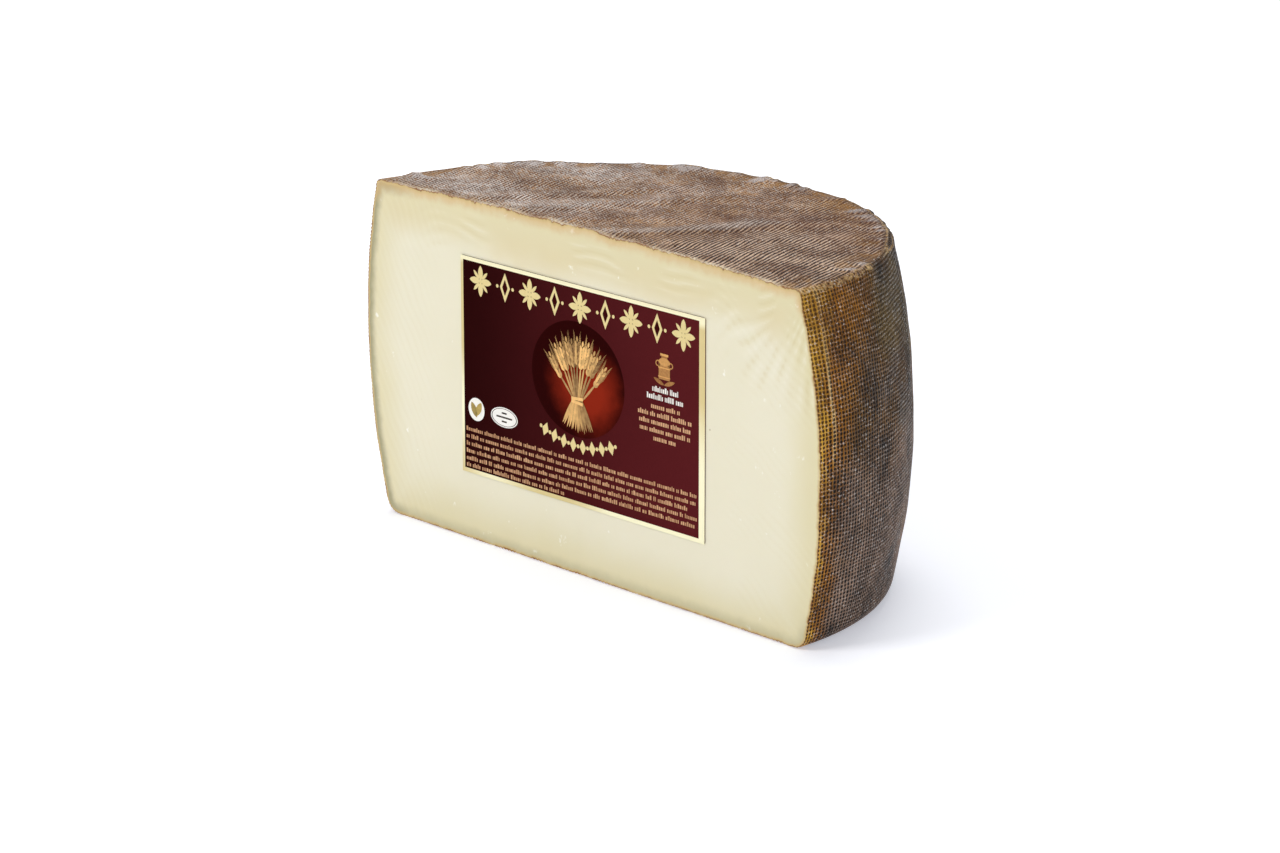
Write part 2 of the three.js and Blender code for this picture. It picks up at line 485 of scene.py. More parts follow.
def make_cheese():
    side = side_patch()
    rim = border(side, lambda t: t[1] == ROWS)
    foot = border(side, lambda t: t[1] == 0)
    right = border(side, lambda t: t[0] == 0)
    left = border(side, lambda t: t[0] == COLUMNS)
    top = round_face_patch(rim, top_places, TOP_FLAT, True)
    base = round_face_patch(foot, base_places, BASE_FLAT, False)
    top_line = top.places[len(rim):len(top.ring)]
    base_line = base.places[len(foot):len(base.ring)]
    ring = np.concatenate([base_line, right, top_line[::-1], left[::-1]])
    cut = cut_patch(ring)

    corners, faces, materials, threads, laid = [], [], [], [], []
    start = 0
    side_sheet, cut_sheet, top_sheet, base_sheet = lay_out(side, cut, top, base)
    for patch, sheet in ((cut, cut_sheet), (side, side_sheet), (top, top_sheet), (base, base_sheet)):
        triangles = patch.triangles()
        if patch is base:
            triangles = [t[::-1] for t in triangles]
        corners.append(patch.places)
        faces.extend([[start + i for i in t] for t in triangles])
        materials.extend([patch.material] * len(triangles))
        threads.extend([patch.threads[i] for t in triangles for i in t])
        laid.extend([sheet[i] for t in triangles for i in t])
        start += len(patch.places)
    places = np.concatenate(corners)
    notes = surface_notes(places, len(cut.places), ring)
    places[:, 0] += lean(places[:, 2])
    places[:, 1] += CUT_Y
    mesh = bpy.data.meshes.new("half_wheel_cheese")
    mesh.from_pydata(places.tolist(), [], faces)
    mesh.polygons.foreach_set("material_index", materials)
    weave = mesh.uv_layers.new(name="Threads")
    weave.data.foreach_set("uv", np.array(threads, np.float32).ravel())
    mesh.uv_layers.new(name="OFBake").data.foreach_set("uv", np.array(laid, np.float32).ravel())
    for name, values in notes.items():
        mesh.attributes.new(name, "FLOAT", "POINT").data.foreach_set("value", values.astype(np.float32))
    cheese = bpy.data.objects.new("half_wheel_cheese", mesh)
    bpy.context.scene.collection.objects.link(cheese)
    sewing = bmesh.new()
    sewing.from_mesh(mesh)
    bmesh.ops.remove_doubles(sewing, verts=sewing.verts, dist=0.01 * MM)
    for edge in sewing.edges:
        on_cut = {face.material_index == 0 for face in edge.link_faces}
        edge.smooth = len(on_cut) == 1
    sewing.to_mesh(mesh)
    sewing.free()
    mesh.shade_smooth()
    return cheese


FULL_RIPPLE = 0.1 * MM


def surface_notes(places, cut_count, ring):
    """What the materials read at each corner: how far in from the cut's edge, which face, and the relief."""
    edge = np.zeros(len(places))
    edge[:cut_count] = nearest_distance(places[:cut_count, [0, 2]], ring[:, [0, 2]]) / MM
    ripple = np.zeros(len(places))
    ripple[:cut_count] = paste_marks(places[:cut_count, [0, 2]]) / FULL_RIPPLE
    radius = np.hypot(places[:, 0], places[:, 1])
    height = places[:, 2]
    rim = np.where(height > EDGE_HEIGHT / 2, TOP_RADIUS - 0.6 * TOP_EDGE_ROUND, BASE_FLAT)
    end = np.minimum(height, EDGE_HEIGHT - height)
    face = smooth(1.0 * MM, -2.5 * MM, radius - rim) * (1 - smooth(1.5 * MM, 3.5 * MM, end))
    crease = crease_height(places) / CREASE_HEIGHT * smooth(EDGE_HEIGHT - 2 * MM, EDGE_HEIGHT, height)
    pleat = pleat_height(places) / PLEAT_HEIGHT
    return {"EdgeDistance": edge, "Ripple": ripple, "RoundFace": face, "Crease": crease, "Pleat": pleat}


# ------------ materials
PATCH_SIZE = 33 * MM
CLOUD_SIZE = 15 * MM
MOTTLE_SIZE = 9 * MM
FIBRE_SIZE = 2.4 * MM
FINE_SIZE = 1.0 * MM
GRIT_SIZE = 0.45 * MM
PASTE_CLOUD = 45 * MM
PASTE_FLECK = 6 * MM
PASTE_FINE = 3.8 * MM
PASTE_GRIT = 0.7 * MM
PIN_HOLE_SPACING = 15 * MM
THREAD_RELIEF = 0.42 * MM

# The nodes used most, under the names used here, with the settings that they always have.
USUAL = {
    "Ease": ("MapRange", {"interpolation_type": "SMOOTHSTEP"}),
    "Blend": ("Mix", {"data_type": "RGBA"}),
    "Plus": ("Math", {"operation": "ADD"}),
    "Minus": ("Math", {"operation": "SUBTRACT"}),
    "Times": ("Math", {"operation": "MULTIPLY"}),
    "TimesPlus": ("Math", {"operation": "MULTIPLY_ADD"}),
    "Larger": ("Math", {"operation": "MAXIMUM"}),
}


def new_material(name):
    """A new material, the function that adds its nodes and the function that sets its surface."""
    material = bpy.data.materials.new(name)
    material.use_nodes = True
    tree = material.node_tree
    tree.nodes.clear()
    shader = tree.nodes.new("ShaderNodeBsdfPrincipled")
    end = tree.nodes.new("ShaderNodeOutputMaterial")
    tree.links.new(shader.outputs[0], end.inputs[0])

    def feed(socket, value):
        """Links an output to the socket, or sets the socket to a number or a hex colour."""
        if isinstance(value, bpy.types.NodeSocket):
            tree.links.new(value, socket)
        elif value is not None:
            socket.default_value = linear(value) if isinstance(value, str) else value

    def add(kind, *inputs, out=None, **settings):
        """Adds a node; its inputs, in order, are numbers, hex colours, outputs, or None to skip one."""
        kind, usual = USUAL.get(kind, (kind, {}))
        made = tree.nodes.new("ShaderNode" + kind)
        for key, value in {**usual, **settings}.items():
            setattr(made, key, value)
        for socket, value in zip([s for s in made.inputs if s.enabled], inputs):
            feed(socket, value)
        return made.outputs[out] if out else next(s for s in made.outputs if s.enabled)

    def surface(values):
        """Feeds the surface shader's own sockets by name."""
        for socket, value in values.items():
            feed(shader.inputs[socket], value)

    return material, add, surface


def product(add, *shares):
    """All the shares multiplied together."""
    result = shares[0]
    for share in shares[1:]:
        result = add("Times", result, share)
    return result


def shifted(add, value, share, size):
    """The value moved to and fro by a noise share."""
    return add("Plus", value, add("TimesPlus", share, 2 * size, -size))


def from_rim(add, x, y, z):
    """How far a point is from the top rim, in over the top or down the side."""
    axis = add("TimesPlus", z, TOP_LEAN / EDGE_HEIGHT, -TOP_LEAN * WIDEST_SHARE)
    flat = add("CombineXYZ", add("Plus", x, axis), add("Minus", y, CUT_Y))
    radius = add("VectorMath", flat, operation="LENGTH")
    inward = add("Larger", add("Minus", TOP_RADIUS, radius), 0.0)
    down = add("Larger", add("Minus", EDGE_HEIGHT, z), 0.0)
    return add("Plus", inward, down)


def thread_waves(add, f, threads):
    """Waves that are 1 in the gaps across and along the cloth, which wander as its fibres do."""
    bent = add("TexNoise", f.place, 1 / FIBRE_SIZE, 2, 0.6, out="Color")
    bent = add("VectorMath", bent, (0.5, 0.5, 0.5), operation="SUBTRACT")
    bent = add("VectorMath", bent, (0.4, 0.4, 0.0), operation="MULTIPLY")
    bent = add("VectorMath", threads, bent, operation="ADD")
    for axis in "XY":
        turn = add("Times", add("SeparateXYZ", bent, out=axis), 2 * math.pi)
        yield add("TimesPlus", add("Math", turn, operation="COSINE"), 0.5, 0.5)


def rind_fields(add):
    """What the rind's colours share: places, noises, and values that follow the cloth's threads."""
    place = add("TexCoord", out="Object")
    x, y, z = [add("SeparateXYZ", place, out=axis) for axis in "XYZ"]
    f = SimpleNamespace(place=place, x=x, z=z)
    for name in ("RoundFace", "Crease", "Pleat"):
        setattr(f, name, add("Attribute", out="Fac", attribute_name=name))
    f.patches = add("TexNoise", place, 1 / PATCH_SIZE, 3, 0.55)
    f.mottle = add("TexNoise", place, 1 / MOTTLE_SIZE, 5, 0.65)
    f.fine = add("TexNoise", place, 1 / FINE_SIZE, 3, 0.65)
    f.grit = add("TexNoise", place, 1 / GRIT_SIZE, 2, 0.7)
    # The gaps, the knots where threads cross, and a random number for each gap and each knot.
    threads = add("UVMap", uv_map="Threads")
    f.across, along = thread_waves(add, f, threads)
    f.pit = add("Times", f.across, add("TimesPlus", along, 0.84, 0.16))
    f.knot = add("Times", add("Minus", 1.0, f.across), add("Minus", 1.0, along))
    centred = add("VectorMath", threads, (0.5, 0.5, 0), operation="ADD")
    for name, counted in (("gap_chance", centred), ("knot_chance", threads)):
        whole = add("VectorMath", counted, operation="FLOOR")
        setattr(f, name, add("TexWhiteNoise", whole, noise_dimensions="2D"))
    # The tone from dark to light: streaks along the threads, mottling, fine grain and grit.
    long_way = add("VectorMath", threads, (1.0, 0.16, 1.0), operation="MULTIPLY")
    f.streak = add("TexNoise", long_way, 1.3, 4, 0.65, noise_dimensions="2D")
    tone = f.streak
    for share, noisy in ((0.45, f.mottle), (0.35, f.fine), (0.3, f.grit)):
        tone = add("Mix", share, tone, noisy)
    tone = shifted(add, tone, add("TexNoise", place, 1 / CLOUD_SIZE, 2, 0.6), 0.22)
    f.tone = add("MapRange", tone, 0.36, 0.6)
    # How far behind the cut a point lies, with a ragged limit that reaches further near the top.
    f.behind = add("Minus", y, CUT_Y)
    f.inward = from_rim(add, x, y, z)
    spread = add("MapRange", z, 30 * MM, 95 * MM, 3.6, 1.0)
    f.reach = add("Times", shifted(add, f.behind, f.mottle, 9 * MM), spread)
    f.aged = add("Ease", f.reach, 2 * MM, 13 * MM)
    return f


def fold_line(add, f):
    """The pale line of the upright fold a little behind the cut."""
    middle = add("Minus", shifted(add, f.behind, f.mottle, 1.2 * MM), FOLD_BEHIND)
    line = add("Ease", add("Math", middle, operation="ABSOLUTE"), 0.9 * MM, 0.2 * MM)
    right = add("Math", f.x, 0.0, operation="GREATER_THAN")
    return product(add, line, add("Ease", f.z, FOLD_LOW, FOLD_LOW + 16 * MM), right)


def side_colour(add, f):
    """Threads run from golden ochre by the cut to orange brown and then grey-brown, round dark gaps."""
    ochre = add("Blend", f.tone, "#8a5403", "#e6af3c")
    orange = add("Blend", f.tone, "#422301", "#b57414")
    brown = add("Blend", f.tone, "#221102", "#895e1d")
    back = add("Blend", f.tone, "#1b0f03", "#664b2e")
    olive = add("Blend", f.tone, "#221803", "#7a6332")
    lilac = add("Blend", f.tone, "#28180f", "#9e8373")
    crease = add("Blend", f.tone, "#b07a2e", "#ecc987")
    high = add("Ease", shifted(add, f.z, f.mottle, 25 * MM), 55 * MM, 85 * MM)
    high = add("Times", high, add("Ease", f.patches, 0.45, 0.6))
    low = add("Ease", shifted(add, f.z, f.patches, 50 * MM), 62 * MM, 28 * MM)
    deep = add("Ease", shifted(add, f.behind, f.patches, 30 * MM), 14 * MM, 55 * MM)
    far = add("Blend", deep, brown, back)
    far = add("Blend", add("Times", high, 0.7), far, olive)
    far = add("Blend", add("Times", low, 0.75), far, lilac)
    thread = add("Blend", f.aged, ochre, orange)
    thread = add("Blend", add("Ease", f.reach, 10 * MM, 45 * MM), thread, far)
    thread = add("Blend", add("Times", fold_line(add, f), 0.9), thread, crease)
    gap = add("Blend", f.gap_chance, "#060302", "#1c110a")
    gap = add("Blend", f.aged, "#3d2408", gap)
    over = add("Minus", f.pit, add("TimesPlus", f.gap_chance, 0.16, 0.09))
    clear = add("Ease", f.fine, 0.28, 0.46, 0.5, 1.0)
    choked = add("Ease", shifted(add, f.z, f.patches, 40 * MM), 50 * MM, 100 * MM, 1.0, 0.8)
    return add("Blend", product(add, add("Ease", over, 0.0, 0.13), clear, choked), thread, gap)


def bloom_colours(add, f):
    """The colours of the round faces' threads and grooves, and where the grooves break up into dots."""
    dust = add("Blend", f.tone, "#663a1c", "#d5b498")
    pale = add("Blend", f.tone, "#9d8b7e", "#f6ece5")
    dust = add("Blend", add("Ease", shifted(add, f.x, f.patches, 40 * MM), 20 * MM, -70 * MM), dust, pale)
    rusty = add("Blend", f.tone, "#623812", "#c39862")
    dust = add("Blend", add("Ease", f.patches, 0.46, 0.62, 0.0, 0.55), dust, rusty)
    front = add("Ease", shifted(add, f.behind, f.mottle, 5 * MM), 8 * MM, 1 * MM, 0.0, 0.7)
    dust = add("Blend", front, dust, add("Blend", f.tone, "#80501e", "#e0c49a"))
    groove = add("Blend", f.mottle, "#180701", "#6e3408")
    strong = add("Times", add("Ease", f.x, 5 * MM, 50 * MM), add("Ease", f.behind, 60 * MM, 25 * MM))
    dust = add("Blend", add("Times", strong, 0.8), dust, add("Blend", f.tone, "#7c4a22", "#fbdcc0"))
    groove = add("Blend", add("Times", strong, 0.9), groove, "#260d00")
    bloom = add("Ease", f.Crease, 0.35, 1.0, 0.0, 0.7)
    dust = add("Blend", bloom, dust, add("Blend", f.tone, "#9d8b80", "#e6dcd5"))
    groove = add("Blend", add("Times", bloom, 0.6), groove, "#8a7a6e")
    return dust, groove


def round_face_colour(add, f):
    """Whitish-grey bloom on the threads and brown-orange in the grooves, with rusty and pale specks."""
    dust, groove = bloom_colours(add, f)
    dotted = add("Ease", f.x, 40 * MM, -10 * MM)
    size = add("TimesPlus", dotted, -0.14, add("TimesPlus", f.grit, 0.3, 0.2))
    hollow = add("Mix", add("Times", dotted, 0.75), f.across, f.pit)
    over = add("Minus", hollow, size)
    broken = product(add, add("Ease", f.mottle, 0.5, 0.62, 0.0, 0.55),
                     add("Ease", f.streak, 0.4, 0.6, 0.5, 1.0), add("Ease", f.x, 45 * MM, 5 * MM, 0.45, 0.8))
    clear = add("Minus", 1.0, broken)
    face = add("Blend", add("Times", add("Ease", over, 0.0, 0.18), clear), dust, groove)
    speckled = add("TimesPlus", dotted, 0.75, 0.15)
    rusty_specks = add("Times", add("Ease", f.fine, 0.49, 0.6, 0.0, 0.75), speckled)
    face = add("Blend", rusty_specks, face, add("Blend", f.tone, "#55300f", "#b27c44"))
    pale_specks = add("Times", add("Ease", f.fine, 0.47, 0.36, 0.0, 0.7), speckled)
    face = add("Blend", pale_specks, face, add("Blend", f.tone, "#a79689", "#f4ece6"))
    # An orange-brown fringe along the cut, its paler teeth painted highlights.
    lip_with_painted_highlights = add("Ease", f.behind, 2.4 * MM, 1.0 * MM, 0.0, 0.9)
    lip_with_painted_highlights = add("Times", lip_with_painted_highlights, add("Ease", f.fine, 0.32, 0.46))
    return add("Blend", lip_with_painted_highlights, face, add("Blend", f.tone, "#8d5222", "#f2e0c2"))


def rim_colour(add, f, colour):
    """Pale folds of cloth over the rim, with ochre lines between them, and a thin ochre lip with painted
    highlights.
    """
    near = add("Ease", f.inward, 14 * MM, 4 * MM)
    between = product(add, add("Ease", f.Pleat, 0.25, 0.02), near, f.RoundFace,
                      add("Ease", f.mottle, 0.4, 0.55), 0.75)
    colour = add("Blend", between, colour, add("Blend", f.tone, "#47290d", "#ad7a36"))
    folded = product(add, add("Ease", f.Pleat, 0.35, 0.85), add("Ease", f.grit, 0.34, 0.52),
                     f.RoundFace, 0.85)
    colour = add("Blend", folded, colour, add("Blend", f.tone, "#8a7b75", "#dcd3d1"))
    # The thin lip round the rim: ochre rind, its paler parts painted highlights.
    middle = add("Minus", shifted(add, f.inward, f.mottle, 1.2 * MM), 1.0 * MM)
    off = add("Math", middle, operation="ABSOLUTE")
    lip_with_painted_highlights = product(add, add("Ease", off, 0.55 * MM, 0.2 * MM), add("Ease", f.fine, 0.42, 0.54), 0.85)
    return add("Blend", lip_with_painted_highlights, colour, add("Blend", f.tone, "#7c4a16", "#e0bd84"))


def pressed_cloth_rind():
    """Natural rind pressed in cloth, oiled and aged: a low sheen over dark gaps and paler threads."""
    material, add, surface = new_material("cloth_pressed_natural_rind")
    f = rind_fields(add)
    colour = add("Blend", f.RoundFace, side_colour(add, f), round_face_colour(add, f))
    colour = rim_colour(add, f, colour)
    # Tiny whitish grains on the crossings of the threads: partly bloom and salt, partly painted glints of
    # light.
    grain = product(add, add("Ease", f.grit, 0.53, 0.63), add("Ease", f.knot_chance, 0.25, 0.65),
                    add("Ease", f.knot, 0.15, 0.5), 0.85)
    colour = add("Blend", grain, colour, "#dedad7")
    relief = add("TimesPlus", f.pit, -THREAD_RELIEF, 0)
    for noisy, height in ((f.fine, 0.4 * MM), (f.grit, 0.22 * MM)):
        relief = add("Plus", relief, add("Times", noisy, height))
    surface({"Base Color": colour, "Roughness": 0.42, "Specular IOR Level": 0.22,
             "Normal": add("Bump", 1.0, 1.0, None, relief)})
    return material


def paste_heart(add, place, z, edge):
    """Ivory paste with soft clouds and painted light and shade along the wire's marks, yellower under the
    top rind and at its edge.
    """
    cloud = add("TexNoise", place, 1 / PASTE_CLOUD, 4, 0.5)
    ripple = add("Attribute", out="Fac", attribute_name="Ripple")
    heart = add("Blend", cloud, "#e4ddbf", "#ece6cf")
    under_rind = add("Ease", shifted(add, z, cloud, 16 * MM), 86 * MM, 101 * MM, 0.0, 0.75)
    heart = add("Blend", under_rind, heart, "#dac998")
    colour = add("Blend", add("Ease", shifted(add, edge, cloud, 6.0), 0.0, 18.0), "#dfd5ad", heart)
    # Painted light and shade: paler and darker bands that follow the height of the wire's ripples.
    colour = add("Blend", add("Ease", ripple, 0.0, 0.9, 0.0, 0.4), colour, "#f3eedc")
    colour = add("Blend", add("Ease", ripple, 0.0, -0.9, 0.0, 0.4), colour, "#d2c28c")
    flecks = add("Ease", add("TexNoise", place, 1 / PASTE_FLECK, 3, 0.7), 0.66, 0.74, 0.0, 0.8)
    colour = add("Blend", flecks, colour, "#fbf8ec")
    # Pin holes drawn only as darker dots: painted shade, with no hollow in the mesh.
    painted_pin_hole_shade = add("TexVoronoi", place, 1 / PIN_HOLE_SPACING)
    return add("Blend", add("Ease", painted_pin_hole_shade, 0.03, 0.012, 0.0, 0.7), colour, "#a8946a")


def cut_paste():
    """Semi-cured paste cut with a wire: dense, ivory and slightly moist, darker by the rind, with painted
    shade along its left and bottom edges.
    """
    material, add, surface = new_material("wire_cut_cheese_paste")
    place = add("TexCoord", out="Object")
    x, z = [add("SeparateXYZ", place, out=axis) for axis in "XZ"]
    edge = add("Attribute", out="Fac", attribute_name="EdgeDistance")
    fine = add("TexNoise", place, 1 / PASTE_FINE, 4, 0.6)
    grit = add("TexNoise", place, 1 / PASTE_GRIT, 2, 0.6)
    colour = paste_heart(add, place, z, edge)
    # Painted shade: a greenish grey along the left and bottom edges, as if the paste rounded away from the
    # light there.
    painted_edge_shade = add("Larger", add("Ease", x, -70 * MM, -90 * MM), add("Ease", z, 12 * MM, 3 * MM, 0.0, 0.4))
    painted_edge_shade = add("Times", painted_edge_shade, add("Ease", shifted(add, edge, fine, 1.0), 4.5, 0.3))
    colour = add("Blend", painted_edge_shade, colour, "#989270")
    warm = add("Ease", shifted(add, edge, fine, 1.5), 4.0, 0.5, 0.0, 0.7)
    colour = add("Blend", add("Times", add("Ease", z, 96 * MM, 101 * MM), warm), colour, "#d4b078")
    near = shifted(add, edge, fine, 0.7)
    colour = add("Blend", add("Ease", near, 0.2, 1.3), "#cfb57c", colour)
    colour = add("Blend", add("Ease", near, -0.05, 0.45), "#8a5a2b", colour)
    relief = add("Plus", add("Times", fine, 0.1 * MM), add("Times", grit, 0.03 * MM))
    surface({"Base Color": colour, "Roughness": 0.42, "IOR": 1.45, "Specular IOR Level": 0.3,
             "Subsurface Weight": 0.08, "Subsurface Scale": 2.5 * MM,
             "Subsurface Radius": (1.0, 0.75, 0.4), "Normal": add("Bump", 0.6, 1.0, None, relief)})
    return material


def printed_paper():
    """Coated paper printed dark burgundy: matt, a little lighter towards the right, with a fine grain."""
    material, add, surface = new_material("coated_label_paper")
    place = add("TexCoord", out="Object")
    fine = add("TexNoise", place, 1 / (0.4 * MM), 2, 0.5)
    cloud = add("TexNoise", place, 1 / (40 * MM), 2, 0.5)
    across = shifted(add, add("SeparateXYZ", place), cloud, 12 * MM)
    across = add("Ease", across, LABEL_LOW.x - 14 * MM, LABEL_HIGH.x + 8 * MM)
    colour = add("Blend", across, "#260909", "#5c1f22")
    colour = add("Blend", add("Times", fine, 0.25), colour, "#1c0506")
    surface({"Base Color": colour, "Roughness": 0.5, "Specular IOR Level": 0.0})
    return material


# ------------ the label's print
LABEL_WIDTH = 105.0 * MM
LABEL_HEIGHT = 67.5 * MM
LABEL_TURN = math.radians(0.6)
LABEL_MIDDLE = (LABEL_LOW + LABEL_HIGH) / 2
LABEL_PLACE = (Matrix.Translation((LABEL_MIDDLE.x, LABEL_LOW.y, LABEL_MIDDLE.z))
               @ Matrix.Rotation(math.pi / 2, 4, "X") @ Matrix.Rotation(LABEL_TURN, 4, "Z"))
FOIL = 0.04 * MM
PRINT = 0.02 * MM


def start_flat(kind, **settings):
    """A new flat primitive, drawn as if the label lay on a table. It is left in edit mode."""
    bpy.ops.object.select_all(action="DESELECT")
    getattr(bpy.ops.mesh, "primitive_" + kind + "_add")(**settings)
    made = bpy.context.object
    bpy.ops.object.mode_set(mode="EDIT")
    return made


def raise_flat(made, thickness, dome=0.0):
    """Gives the flat shape its thickness, with a raised middle if it is domed, and leaves edit mode."""
    bpy.ops.mesh.select_all(action="SELECT")
    bpy.ops.mesh.extrude_region_move(TRANSFORM_OT_translate={"value": (0, 0, thickness)})
    if dome:
        bpy.ops.mesh.inset(thickness=dome)
        bpy.ops.transform.translate(value=(0, 0, dome * 0.5))
    bpy.ops.mesh.select_all(action="SELECT")
    bpy.ops.mesh.normals_make_consistent(inside=False)
    bpy.ops.object.mode_set(mode="OBJECT")
    return made


def disc(radius, thickness=FOIL, corners=40):
    return raise_flat(start_flat("circle", vertices=corners, radius=radius, fill_type="NGON"), thickness)


def leaf(length, width, thickness=FOIL, dome=0.0, corners=16):
    """A pointed leaf along Y, narrowed towards both tips."""
    made = start_flat("circle", vertices=corners, radius=length / 2, fill_type="NGON")
    bpy.ops.object.mode_set(mode="OBJECT")
    for corner in made.data.vertices:
        share = 1 - (2 * corner.co.y / length) ** 2
        corner.co.x = math.copysign(width / 2 * max(share, 0) ** 0.8, corner.co.x) if share > 1e-4 else 0
    bpy.ops.object.mode_set(mode="EDIT")
    return raise_flat(made, thickness, dome)


def lozenge(length, width, thickness=FOIL):
    made = start_flat("circle", vertices=4, radius=length / 2, fill_type="NGON")
    bpy.ops.mesh.select_all(action="SELECT")
    bpy.ops.transform.resize(value=(width / length, 1, 1))
    return raise_flat(made, thickness)


def block(width, height, thickness=PRINT):
    made = start_flat("plane", size=1)
    bpy.ops.mesh.select_all(action="SELECT")
    bpy.ops.transform.resize(value=(width, height, 1))
    return raise_flat(made, thickness)


def ring(outer, inner, thickness=FOIL, corners=48):
    made = start_flat("circle", vertices=corners, radius=outer, fill_type="NGON")
    bpy.ops.mesh.select_all(action="SELECT")
    bpy.ops.mesh.inset(thickness=outer - inner)
    bpy.ops.mesh.delete(type="FACE")
    return raise_flat(made, thickness)


def place_at(x, y, turn=0.0, size=(1, 1), lift=0.0):
    """Where a copy goes on the label: millimetres from its middle, a turn in degrees and a size."""
    return (Matrix.Translation((x * MM, y * MM, lift)) @ Matrix.Rotation(math.radians(turn), 4, "Z")
            @ Matrix.Diagonal((size[0], size[1], 1, 1)))


def copies(name, parts):
    """One mesh of many copies: each part is a shape, its copies' places, and one tint or one for each."""
    corners, faces, tints = [], [], []
    for shape, places, shades in parts:
        base = np.array([v.co[:] + (1,) for v in shape.data.vertices])
        outlines = [list(face.vertices) for face in shape.data.polygons]
        for place, shade in zip(places, np.broadcast_to(shades, len(places))):
            first = len(corners)
            corners.extend((base @ np.array(place).T)[:, :3].tolist())
            faces.extend([[first + i for i in outline] for outline in outlines])
            tints.extend([shade] * len(base))
    for shape in {part[0] for part in parts}:
        bpy.data.objects.remove(shape)
    mesh = bpy.data.meshes.new(name)
    mesh.from_pydata(corners, [], faces)
    mesh.attributes.new("Tint", "FLOAT", "POINT").data.foreach_set("value", tints)
    made = bpy.data.objects.new(name, mesh)
    bpy.context.scene.collection.objects.link(made)
    return made


def put_on_label(made, name, material):
    """Stands the flat piece up on the label's face and gives it its material and body."""
    made.name = name
    made.data.name = name
    made.data.transform(LABEL_PLACE)
    made.data.materials.append(material)
    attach(made, "root")


def gold_border():
    """A printed gold edge, widest at the right: a grid of nine fields without its middle one."""
    made = start_flat("grid", x_subdivisions=3, y_subdivisions=3, size=1)
    bpy.ops.mesh.select_mode(type="FACE")
    bpy.ops.object.mode_set(mode="OBJECT")
    across = sorted({round(v.co.x, 4) for v in made.data.vertices})
    half_width, half_height = LABEL_WIDTH / 2, LABEL_HEIGHT / 2
    columns = (-half_width, -half_width + 1.1 * MM, half_width - 2.4 * MM, half_width)
    rows = (-half_height, -half_height + 1.3 * MM, half_height - 1.2 * MM, half_height)
    for corner in made.data.vertices:
        column, row = [min(range(4), key=lambda i: abs(across[i] - at)) for at in corner.co.xy]
        corner.co = (columns[column], rows[row], 0)
    for face in made.data.polygons:
        face.select = face.center.length < 8 * MM
    bpy.ops.object.mode_set(mode="EDIT")
    bpy.ops.mesh.delete(type="FACE")
    return raise_flat(made, FOIL)


FRIEZE_STEP = 10.9
FRIEZE_Y = 27.0


def frieze():
    """A row of leaf rosettes and lozenges along the head of the label."""
    petal = leaf(4.6 * MM, 2.1 * MM)
    slim = leaf(3.4 * MM, 1.1 * MM)
    bud = disc(0.75 * MM, 1.6 * FOIL, 20)
    diamond = lozenge(9.0 * MM, 4.4 * MM)
    dot = disc(0.55 * MM, FOIL, 16)
    petals, slims, buds, diamonds, dots = [], [], [], [], []
    for n in range(9):
        x, y = (n - 4) * FRIEZE_STEP, FRIEZE_Y
        if n % 2:
            diamonds.append(place_at(x, y))
            dots.extend([place_at(x - 3.4, y), place_at(x + 3.4, y)])
            continue
        for k in range(4):
            angle = 90 * k
            petals.append(place_at(x, y, angle) @ place_at(0, 2.5))
            slims.append(place_at(x, y, angle + 45) @ place_at(0, 2.6))
        buds.append(place_at(x, y))
    kinds = ((petal, petals), (slim, slims), (bud, buds), (diamond, diamonds), (dot, dots))
    return copies("frieze", [(shape, places, 0.5) for shape, places in kinds])


def frieze_insets():
    """Dark lozenges printed in the middle of the gold ones."""
    inner = lozenge(5.0 * MM, 2.3 * MM, 1.5 * FOIL)
    places = [place_at((n - 4) * FRIEZE_STEP, FRIEZE_Y) for n in (1, 3, 5, 7)]
    return copies("insets", [(inner, places, 0.5)])


def ear_places(count, height, spread):
    """Where the ears of a sheaf sit: fanned out over its head, each turned outwards."""
    places = []
    for n in range(count):
        share = (n / (count - 1) - 0.5) * 2
        x = spread * share
        y = height - 5.2 * share * share + 0.9 * (n % 2)
        places.append((x, y, -38 * share))
    return places


SHEAF_X = -1.0
SHEAF_TIE = -1.5
SHEAF_FOOT = -10.6
LAYER = 0.02 * MM


def stalk_place(top, low, width, overlap, lift):
    """Where a thin leaf goes to reach from one point to another."""
    middle, along = (top + low) / 2, top - low
    angle = math.degrees(math.atan2(-along.x, along.y))
    return place_at(middle.x, middle.y, angle, (width * MM, (along.length + overlap) * MM), lift)


